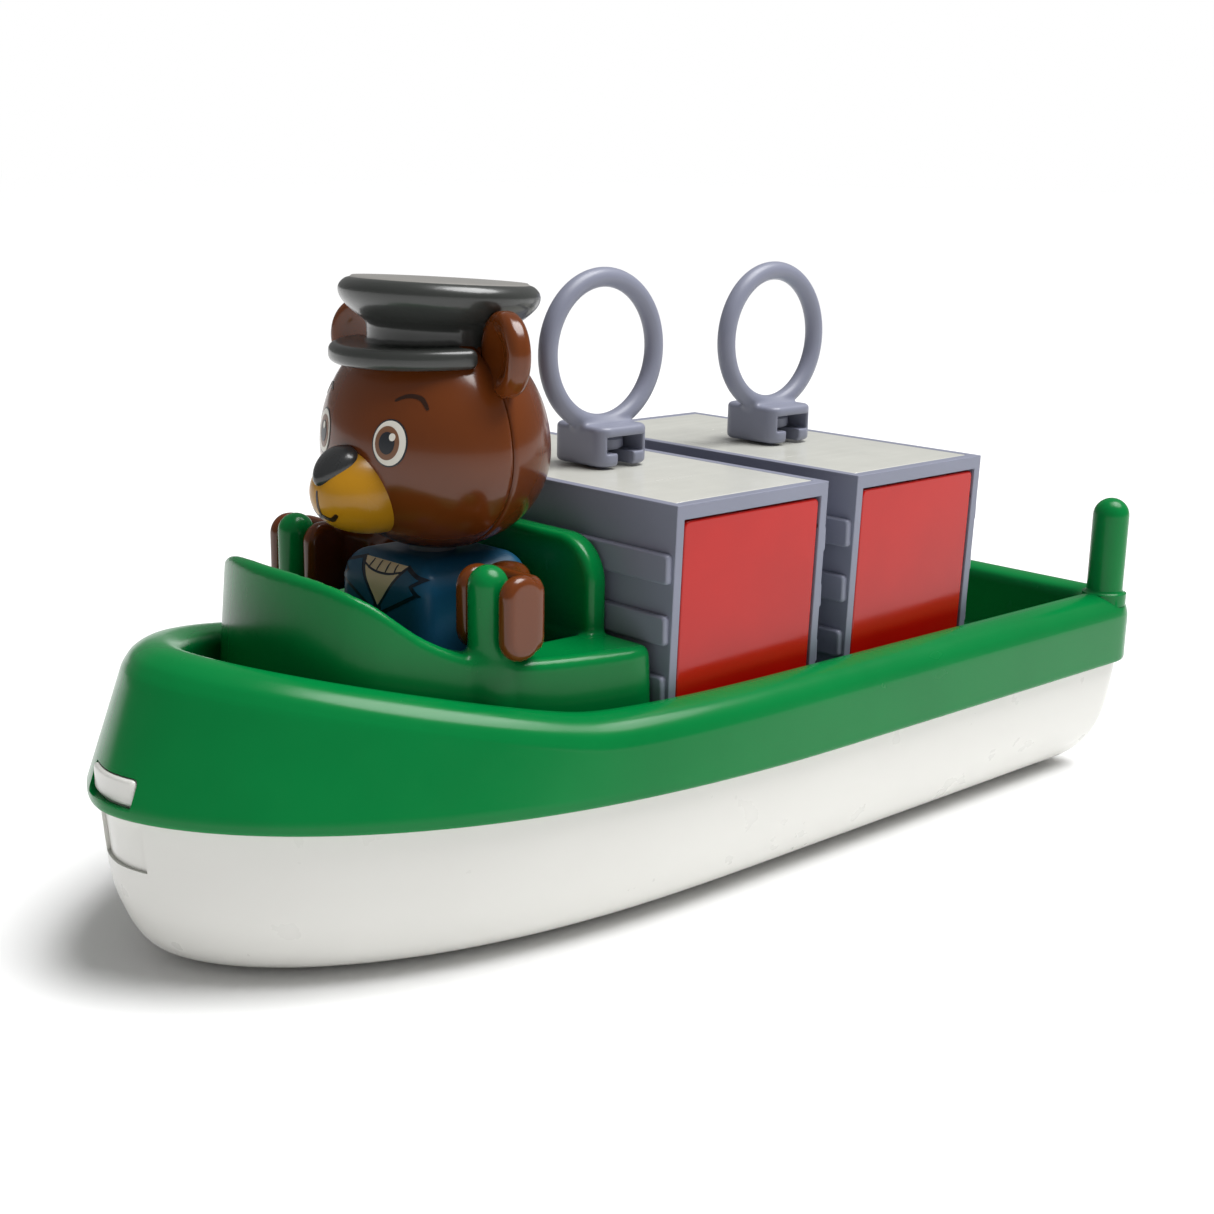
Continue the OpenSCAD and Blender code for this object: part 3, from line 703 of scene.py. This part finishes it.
def build_containers():
    verts, quads = surface_nets(ring_shape, (-15.2, -7, 0), (15.2, 7, 35.5), 0.3)
    quarter = Matrix.Rotation(math.radians(90), 4, "Z")
    for tag, x in BOX_X.items():
        refined(f"{tag}_box_frame", "grey_plastic", 0.18)
        refined(f"{tag}_box_lid", "pale_plastic", 0.25, 5)
        for side, word in ((1, "port"), (-1, "starboard")):
            at = Matrix.Translation((x, side * (BOX_W / 2 - WINDOW_IN), BOX_TOP - WINDOW_DOWN))
            tilt = Matrix.Rotation(-side * math.atan(DRAFT / BOX_H), 4, "X")
            place = at @ tilt @ Matrix.Translation((0, 0, -WINDOW_H / 2))
            rounded_slab(f"{tag}_{word}_window", BOX_L - WINDOW_MARGIN, WINDOW_H, WINDOW_T, 1.0,
                         0.35, place, node=f"{tag}_box_{word}_panel", slot="red_plastic")
        for face, word in ((-1, "stern"), (1, "bow")):
            for k in range(4):
                at = (x + face * (BOX_L / 2 + 0.3), 0, BOX_TOP - RIB_FIRST - RIB_PITCH * k)
                rounded_slab(f"{tag}_{word}_rib_{k}", BOX_W - 1.9 - RIB_NARROWER * k, RIB_H, RIB_T,
                             0.7, 0.45, Matrix.Translation(at) @ quarter, body=f"{tag}_box",
                             slot="grey_plastic")
        make(f"{tag}_ring_handle", verts + np.array([x, 0, BOX_TOP]), quads.tolist(),
             node=f"{tag}_box_ring", slot="grey_plastic")
        paint(f"{tag}_box_lug", "grey_plastic")


# ---------------------------------------------------------------- figure
HEAD_X, HEAD_Z, HEAD_R, HEAD_LOW, HEAD_HIGH = 43.3, 76.5, 21.2, 59.9, 97.0
FACE_FLAT, BACK_FLAT = 0.8, 0.882
EAR_AT, EAR_TURN, EAR_R, EAR_T = (HEAD_X - 0.3, 18.6, 93.2), 17, 6.8, 1.9
SNOUT_AT, SNOUT_SIZE, SNOUT_SLOPE = (54.2, 0, 71.2), (12.0, 8.3, 7.7), 0.04
NOSE_AT, NOSE_SIZE, NOSE_TURN = (62.9, 0, 75.2), (4.3, 3.6, 2.2), math.radians(38)
CAP_X, CAP_Z, CAP_TILT = 41.5, 99.5, math.radians(-3.0)
CROWN = np.concatenate([
    [(-30, 96.5)],
    spline([(10.6, 96.5), (12.2, 96.9), (14.2, 98.2), (15.9, 99.9), (16.5, 101.3), (16.3, 102.4),
            (15.4, 103.3), (14.2, 103.6), (13.2, 103.5)], 4),
    [(12.4, 103.35), (-30, 103.35)]])
# Profile of a thin lighter disc over the cap's crown, a painted highlight on its top.
CAP_TOP = [(0, 103.2), (14.4, 103.2), (14.75, 103.5), (14.3, 103.85), (7, 103.92), (0, 103.94)]
TORSO_X, TORSO_LOW, TORSO_TOP = 42.7, 34.4, 59.4
SIDES = ((1, "left"), (-1, "right"))
ARM_Z, SHOULDER_X, GRIP_R = 54.6, 40.5, 3.62


def turned(a, b, angle):
    """Coordinates a and b turned by an angle in their plane."""
    c, s = math.cos(angle), math.sin(angle)
    return c * a - s * b, s * a + c * b


def egg(x, y, z, rx, ry, rz, power=1.0):
    """Rough distance to an ellipsoid; a power below 1 fills out its shoulders along z."""
    u, v, w = x / rx, y / ry, z / rz
    k0 = np.sqrt(np.maximum(np.hypot(u, v), 1e-6) ** (2 / power) + w * w)
    k1 = np.sqrt((u / rx) ** 2 + (v / ry) ** 2 + (w / rz) ** 2)
    return k0 * (k0 - 1) / np.maximum(k1, 1e-3)


def head_field(X, Y, Z):
    deep = np.where(X > HEAD_X, FACE_FLAT, BACK_FLAT) * HEAD_R
    tall = np.where(Z < HEAD_Z, HEAD_Z - HEAD_LOW, HEAD_HIGH - HEAD_Z)
    return egg(X - HEAD_X, Y, Z - HEAD_Z, deep, HEAD_R, tall, 0.92)


def half_head(way):
    """The front (way 1) or back (way -1) of the head, with the hole for the neck pin."""
    def f(X, Y, Z):
        h = both(head_field(X, Y, Z), (HEAD_X - X) * way + 0.04, 0.55)
        return cut(h, both(np.hypot(X - HEAD_X, Y) - 4.1, Z - 65.5), 0.3)
    return f


def ear_field(side):
    def f(X, Y, Z):
        x, y, z = X - EAR_AT[0], Y - side * EAR_AT[1], Z - EAR_AT[2]
        u, v = turned(x, y, math.radians(side * EAR_TURN))
        disc = both(np.hypot(v, z) - EAR_R, np.abs(u) - EAR_T, 1.5)
        dish = np.sqrt((u - 7.6) ** 2 + (v * 1.05) ** 2 + z * z) - 7.2
        return np.maximum(cut(disc, dish, 0.5), -(head_field(X, Y, Z) + 1.2))
    return f


def snout_field(X, Y, Z):
    deep, wide, tall = SNOUT_SIZE
    z = Z - SNOUT_AT[2] + SNOUT_SLOPE * (X - 54)
    body = egg(Y, z, X - SNOUT_AT[0], wide, tall, deep, 0.9)
    return np.maximum(np.maximum(body, 50.5 - X), -(head_field(X, Y, Z) + 1.0))


def nose_field(X, Y, Z):
    deep, wide, tall = NOSE_SIZE
    u, w = turned(X - NOSE_AT[0], Z - NOSE_AT[2], NOSE_TURN)
    return egg(u, Y, w, deep, wide - 0.28 * u, tall)


def cap_field(X, Y, Z):
    u, w = turned(X - CAP_X, Z - CAP_Z, CAP_TILT)
    crown = poly2(np.hypot(u, Y), w + CAP_Z, CROWN)
    band = both(np.hypot(X - CAP_X, Y) - 11.9, slab(Z, 90.6, 98.5), 0.6)
    visor = both(np.hypot(X - 43.4, Y) - 16.6, np.abs(Z - 92.3 + 0.03 * (X - 52)) - 1.6, 1.3)
    visor = both(visor, 46.2 - X, 1.0)
    return np.maximum(join(join(crown, band, 1.0), visor, 0.7), -(head_field(X, Y, Z) + 0.6))


def torso_field(X, Y, Z):
    taper = 0.035 * (Z - TORSO_LOW)
    plan = rect2(X, Y, TORSO_X, 0, 12.6 - taper * 0.9, 12.0 - taper * 0.25, 3.4)
    return both(plan, slab(Z, TORSO_LOW, TORSO_TOP), 5.2)


def arm_field(side):
    """A bent sleeve from the shoulder pin to a two-fingered hand round the grab post."""
    post_x, post_y = GRAB_AT

    def f(X, Y, Z):
        y, z = Y * side, Z - ARM_Z
        t = np.clip((X - 38) / 10.0, 0, 1)
        bend = t * t * (3 - 2 * t)
        sleeve = both(np.abs(y - 15.2 - 11.2 * bend) - 2.6 - 4.1 * bend,
                      np.abs(z) - 3.9 - 2.6 * t * t, 2.4)
        sleeve = both(sleeve, slab(X, 35.8, 48.6), 2.0)
        shoulder = both(np.hypot(X - SHOULDER_X, z) - 4.3, slab(y, 12.5, 17.2), 1.8)
        arm = join(sleeve, shoulder, 1.5)
        for s in (-1, 1):
            profile = rect2(X, z, 51.0, 0, 3.7, 6.75, 3.5)
            arm = join(arm, both(profile, np.abs(y - post_y - s * 5.2) - 1.6, 1.45), 0.9)
        grip = both(np.hypot(X - post_x, y - post_y) - GRIP_R, slab(z, -9, 9))
        grip = np.minimum(grip, both(slab(y, post_y - GRIP_R, post_y + GRIP_R), post_x - X))
        pin = both(np.hypot(X - SHOULDER_X, z) - 2.0, slab(y, 9.2, 14))
        return np.minimum(cut(arm, grip, 0.5), pin)
    return f


# Prints: closed rings of (y, z) points, dropped aft on to a piece. DEPTH is how far they reach
# into it, CAST_FROM where the rays start, and a ray that misses moves in by a share of STEP_IN.
DEPTH, CAST_FROM, STEP_IN = 0.35, 120, 0.03


def decal(name, rings, surface, lift, body, ink):
    """A thin print that stands lift mm proud of a surface, from rings given from outside in."""
    n, m = len(rings[0]), len(rings)
    top, low = [], []
    middle = np.mean(rings[-1], 0)
    for y, z in np.concatenate(rings):
        hit = None
        while hit is None:
            start = Vector((CAST_FROM, y, z)) * MM
            hit, normal, _, _ = surface.ray_cast(start, Vector((-1, 0, 0)))
            y, z = y + (middle[0] - y) * STEP_IN, z + (middle[1] - z) * STEP_IN
        point, normal = np.array(hit) / MM, np.array(normal)
        top.append(point + normal * lift)
        low.append(point - normal * DEPTH)
    under = n * m
    faces = []
    for j in range(m - 1):
        for i in range(n):
            k = (i + 1) % n
            quad = (j * n + i, j * n + k, (j + 1) * n + k, (j + 1) * n + i)
            faces += [quad, tuple(under + q for q in quad)]
    faces.append(tuple((m - 1) * n + i for i in range(n)))
    faces.append(tuple(under + (m - 1) * n + i for i in range(n)))
    faces += [(i, under + i, under + (i + 1) % n, (i + 1) % n) for i in range(n)]
    material, slot = INK[ink]
    obj = make(name, top + low, faces, body=body, slot=slot, material=material)
    bm = bmesh.new()
    bm.from_mesh(obj.data)
    bmesh.ops.recalc_face_normals(bm, faces=bm.faces)
    bm.to_mesh(obj.data)
    bm.free()
    weigh(obj, 40)


def oval(cy, cz, ry, rz, n=40):
    a = np.linspace(0, 2 * math.pi, n, endpoint=False)
    return [np.column_stack([cy + k * ry * np.cos(a), cz + k * rz * np.sin(a)])
            for k in (1, 0.8, 0.6, 0.4, 0.2)]


def patch(points, centre, per=8):
    """Rings of a straight-sided outline that is star-shaped about its centre."""
    p, c = np.asarray(points, float), np.array(centre)
    out = np.array([a + (b - a) * t for a, b in zip(p, np.roll(p, -1, 0))
                    for t in np.arange(per) / per])
    return [c + (out - c) * k for k in (1, 0.88, 0.75, 0.6, 0.45, 0.3, 0.15, 0.05)]


def stroke(points, width):
    """A stroke along a curve that is thinner at its ends, as two rings."""
    c = spline(points)
    tangent = np.gradient(c, axis=0)
    side = np.stack([-tangent[:, 1], tangent[:, 0]], 1)
    side /= np.linalg.norm(side, axis=1, keepdims=True)
    t = np.linspace(0, 1, len(c))
    w = (width / 2 * np.sqrt(np.clip(1 - (2 * t - 1) ** 2 * 0.75, 0.02, 1)))[:, None]
    return [np.concatenate([c + side * w * k, (c - side * w * k)[::-1]]) for k in (1, 0.3)]


def surface_of(obj):
    """A ray-casting tree of a piece at rest."""
    mesh = obj.data
    return BVHTree.FromPolygons([tuple(v.co) for v in mesh.vertices],
                                [tuple(p.vertices) for p in mesh.polygons])


# An eye's layers from the skin out, as (part, ink, shift towards the nose, half width, half
# height), and the strokes and patches of the left side, mirrored for the right.
EYE_Y, EYE_Z = 8.8, 79.5
EYE = [("rim", "dark", 0, 3.05, 3.75), ("white", "white", 0, 2.8, 3.5),
       ("iris", "iris", 0.3, 2.1, 2.65), ("pupil", "dark", 0.3, 1.35, 1.75)]
BROW = [(8.4, 86.0), (10.2, 86.8), (12.2, 86.5), (13.6, 84.9)]
MOUTH = [(-3.2, 68.0), (-1.7, 67.0), (0, 67.4), (1.7, 67.0), (3.2, 68.0)]
MOUTH_LINE = [(0, 71.6), (0.05, 70), (0, 68.2), (0, 67.5)]
SHIRT = [(-5.8, 58.3), (5.8, 58.3), (0, 51.2)]
SHIRT_LINE = [(-5.2, 57.4), (-2.6, 56.7), (0, 56.5), (2.6, 56.7), (5.2, 57.4)]
LAPEL = [(5.7, 58.5), (11.0, 57.0), (9.0, 55.7), (10.6, 54.4), (0.5, 49.4), (0.1, 50.9)]
LAPEL_CLOTH = [(6.1, 57.8), (9.7, 56.8), (8.1, 55.7), (9.4, 54.5), (1.2, 50.5), (1.0, 51.4)]
OPENING = [(0.1, 50.4), (0.12, 46), (0.1, 42), (0.1, 37)]


def mirrored(points, side):
    return [(side * y, z) for y, z in points]


def build_head():
    """Head halves, ears, snout, nose and cap, with a painted highlight on the cap's top; gives the
    two pieces that carry prints.
    """
    front = solid("face_shell", half_head(1), (43, -21.5, 59.5), (60.8, 21.5, 97.5), 0.5,
                  node="head_front", slot="brown_plastic")
    solid("back_shell", half_head(-1), (24, -21.5, 59.5), (43.8, 21.5, 97.5), 0.5,
          node="head_back", slot="brown_plastic")
    for side, word in SIDES:
        lo, hi = sorted((side * 10.5, side * 26.0))
        solid(f"ear_{word}_disc", ear_field(side), (38.5, lo, 85.5), (47.5, hi, 100.5), 0.34,
              node=f"ear_{word}", slot="brown_plastic")
    snout = solid("snout", snout_field, (50, -9.8, 61), (67, 9.8, 81), 0.36, node="muzzle",
                  slot="yellow_plastic")
    solid("nose_tip", nose_field, (56, -6, 69.5), (68, 6, 80), 0.3, node="nose",
          slot="black_plastic")
    solid("captain_cap", cap_field, (24, -17.5, 90), (61, 17.5, 105), 0.42, node="cap",
          slot="cap_plastic")
    # A thin lighter grey disc over the crown: painted highlight where light falls on the cap's top.
    v, f = revolve(CAP_TOP, 96)
    x, z = turned(v[:, 0], v[:, 2] - CAP_Z, -CAP_TILT)
    material, slot = INK["cap_top"]
    disc = make("cap_top", np.column_stack([x + CAP_X, v[:, 1], z + CAP_Z]), f, body="head",
                slot=slot, material=material)
    weigh(disc, 50)
    return front, snout


def print_face(front, snout):
    on_head, on_snout = surface_of(front), surface_of(snout)
    for s, word in SIDES:
        y = s * EYE_Y
        for i, (part, ink, shift, ry, rz) in enumerate(EYE):
            decal(f"eye_{word}_{part}", oval(y - s * shift, EYE_Z, ry, rz), on_head,
                  0.06 + 0.05 * i, "head", ink)
        decal(f"eye_{word}_glint", oval(y + 0.6, EYE_Z + 1, 0.5, 0.6), on_head, 0.27, "head",
              "white")
        decal(f"brow_{word}", stroke(mirrored(BROW, s), 0.62), on_head, 0.06, "head", "brow")
    decal("mouth", stroke(MOUTH, 0.8), on_snout, 0.06, "head", "brow")
    decal("mouth_line", stroke(MOUTH_LINE, 0.6), on_snout, 0.06, "head", "brow")


def build_torso():
    """Torso with the generic print of a jacket over a ribbed shirt."""
    torso = solid("jacket", torso_field, (29.5, -12.5, 34), (56, 12.5, 59.6), 0.45, node="torso",
                  slot="blue_plastic")
    on_torso = surface_of(torso)

    def add(name, rings, lift, ink):
        decal(name, rings, on_torso, lift, "figure", ink)
    add("shirt", patch(SHIRT, (0, 56)), 0.1, "cream")
    add("shirt_line", stroke(SHIRT_LINE, 0.35), 0.16, "navy")
    for i, y in enumerate((-3.2, -1.1, 1.1, 3.2)):
        rib = [(y, 58.2), (y, 57.7), (y * 1.05, 57.2), (y * 1.08, 56.7)]
        add(f"shirt_rib_{i}", stroke(rib, 0.3), 0.16, "navy")
    for s, word in SIDES:
        add(f"lapel_{word}", patch(mirrored(LAPEL, s), (s * 5.2, 54.6)), 0.12, "navy")
        add(f"lapel_{word}_cloth", patch(mirrored(LAPEL_CLOTH, s), (s * 5.1, 54.6)), 0.18, "cloth")
    add("opening", stroke(OPENING, 0.5), 0.06, "navy")
    for i, z in enumerate((47.6, 43.2)):
        add(f"button_{i}", oval(1.7, z, 0.75, 0.75, 24), 0.1, "cream")


def build_limbs():
    for side, word in SIDES:
        lo, hi = sorted((side * 9.0, side * 33.8))
        solid(f"sleeve_{word}", arm_field(side), (34.8, lo, 47), (56.2, hi, 62.2), 0.36,
              node=f"arm_{word}", slot="brown_plastic")
        refined(f"leg_{word}", "blue_plastic", 0.8, 3.5)
    for name in ("neck_pin", "hip_pin"):
        paint(name, "pin_plastic")


# ---------------------------------------------------------------- studio
FLOOR_HALF, FLOOR_POINTS = 24, 24
LIT, SEEN = 0.22, 1.0
SUN_ENERGY, SUN_ANGLE, SUN_WAY = 2.95, math.radians(40), (0.34, -0.3, -1)
PANEL_AT, PANEL_AIM, PANEL_POWER, PANEL_SIZE = (-0.15, 0.15, 0.8), (0, 0, 0.05), 3.0, 0.5
CAMERA_AT, CAMERA_LENS = (215.306, 222.558, 120.524), 50.29
AZIMUTH, ELEVATION, ROLL = (math.radians(a) for a in (46.257, 14.25, 1.017))


def light(data, way):
    """Places a light that shines along way."""
    obj = bpy.data.objects.new(data.name, data)
    obj.rotation_mode = "QUATERNION"
    obj.rotation_quaternion = way.to_track_quat("-Z", "Y")
    scene.collection.objects.link(obj)
    return obj


def build_studio():
    """White floor, a soft sun, a weak panel overhead, and a dim world that the camera sees white.

    The floor and the background come out nearly equally white, so no horizon shows.
    """
    n = FLOOR_POINTS
    xs = np.linspace(-FLOOR_HALF, FLOOR_HALF, n)
    faces = [(i * n + j, (i + 1) * n + j, (i + 1) * n + j + 1, i * n + j + 1)
             for i in range(n - 1) for j in range(n - 1)]
    mesh = bpy.data.meshes.new("floor")
    mesh.from_pydata([(x, y, 0) for x in xs for y in xs], [], faces)
    floor = bpy.data.objects.new("floor", mesh)
    scene.collection.objects.link(floor)
    mesh.materials.append(plastic("floor_paper", (254, 254, 254), 0.8, mottle=0.004, grain=0.05,
                                  scuff=0.0))

    world = bpy.data.worlds.new("studio")
    scene.world = world
    world.use_nodes = True
    nodes, links = world.node_tree.nodes, world.node_tree.links
    mix = nodes.new("ShaderNodeMixShader")
    path = nodes.new("ShaderNodeLightPath")
    links.new(path.outputs["Is Camera Ray"], mix.inputs[0])
    for i, (node, strength) in enumerate(((nodes["Background"], LIT),
                                          (nodes.new("ShaderNodeBackground"), SEEN))):
        node.inputs["Color"].default_value = (1, 1, 1, 1)
        node.inputs["Strength"].default_value = strength
        links.new(node.outputs[0], mix.inputs[1 + i])
    links.new(mix.outputs[0], nodes["World Output"].inputs[0])

    sun = bpy.data.lights.new("soft_sun", "SUN")
    sun.energy, sun.angle = SUN_ENERGY, SUN_ANGLE
    light(sun, Vector(SUN_WAY))
    panel = bpy.data.lights.new("overhead_panel", "AREA")
    panel.shape, panel.energy, panel.size = "SQUARE", PANEL_POWER, PANEL_SIZE
    light(panel, Vector(PANEL_AIM) - Vector(PANEL_AT)).location = PANEL_AT
    scene.view_settings.view_transform = "Standard"


def build_camera():
    """The photograph's viewing angle, from the two containers' straight edges."""
    level = math.cos(ELEVATION)
    back = Vector((level * math.cos(AZIMUTH), level * math.sin(AZIMUTH), math.sin(ELEVATION)))
    right = (-back).cross(Vector((0, 0, 1))).normalized()
    up = right.cross(-back)
    c, s = math.cos(ROLL), math.sin(ROLL)
    right, up = c * right + s * up, c * up - s * right
    data = bpy.data.cameras.new("camera")
    data.sensor_width, data.lens = 36, CAMERA_LENS
    data.clip_start, data.clip_end = 0.01, 100
    cam = bpy.data.objects.new("camera", data)
    m = Matrix((right, up, back)).transposed().to_4x4()
    m.translation = Vector(CAMERA_AT) * MM
    cam.matrix_world = m
    scene.collection.objects.link(cam)
    scene.camera = cam


build_camera()
build_studio()
build_hull()
build_deck()
build_catches()
build_cockpit()
build_containers()
print_face(*build_head())
build_torso()
build_limbs()
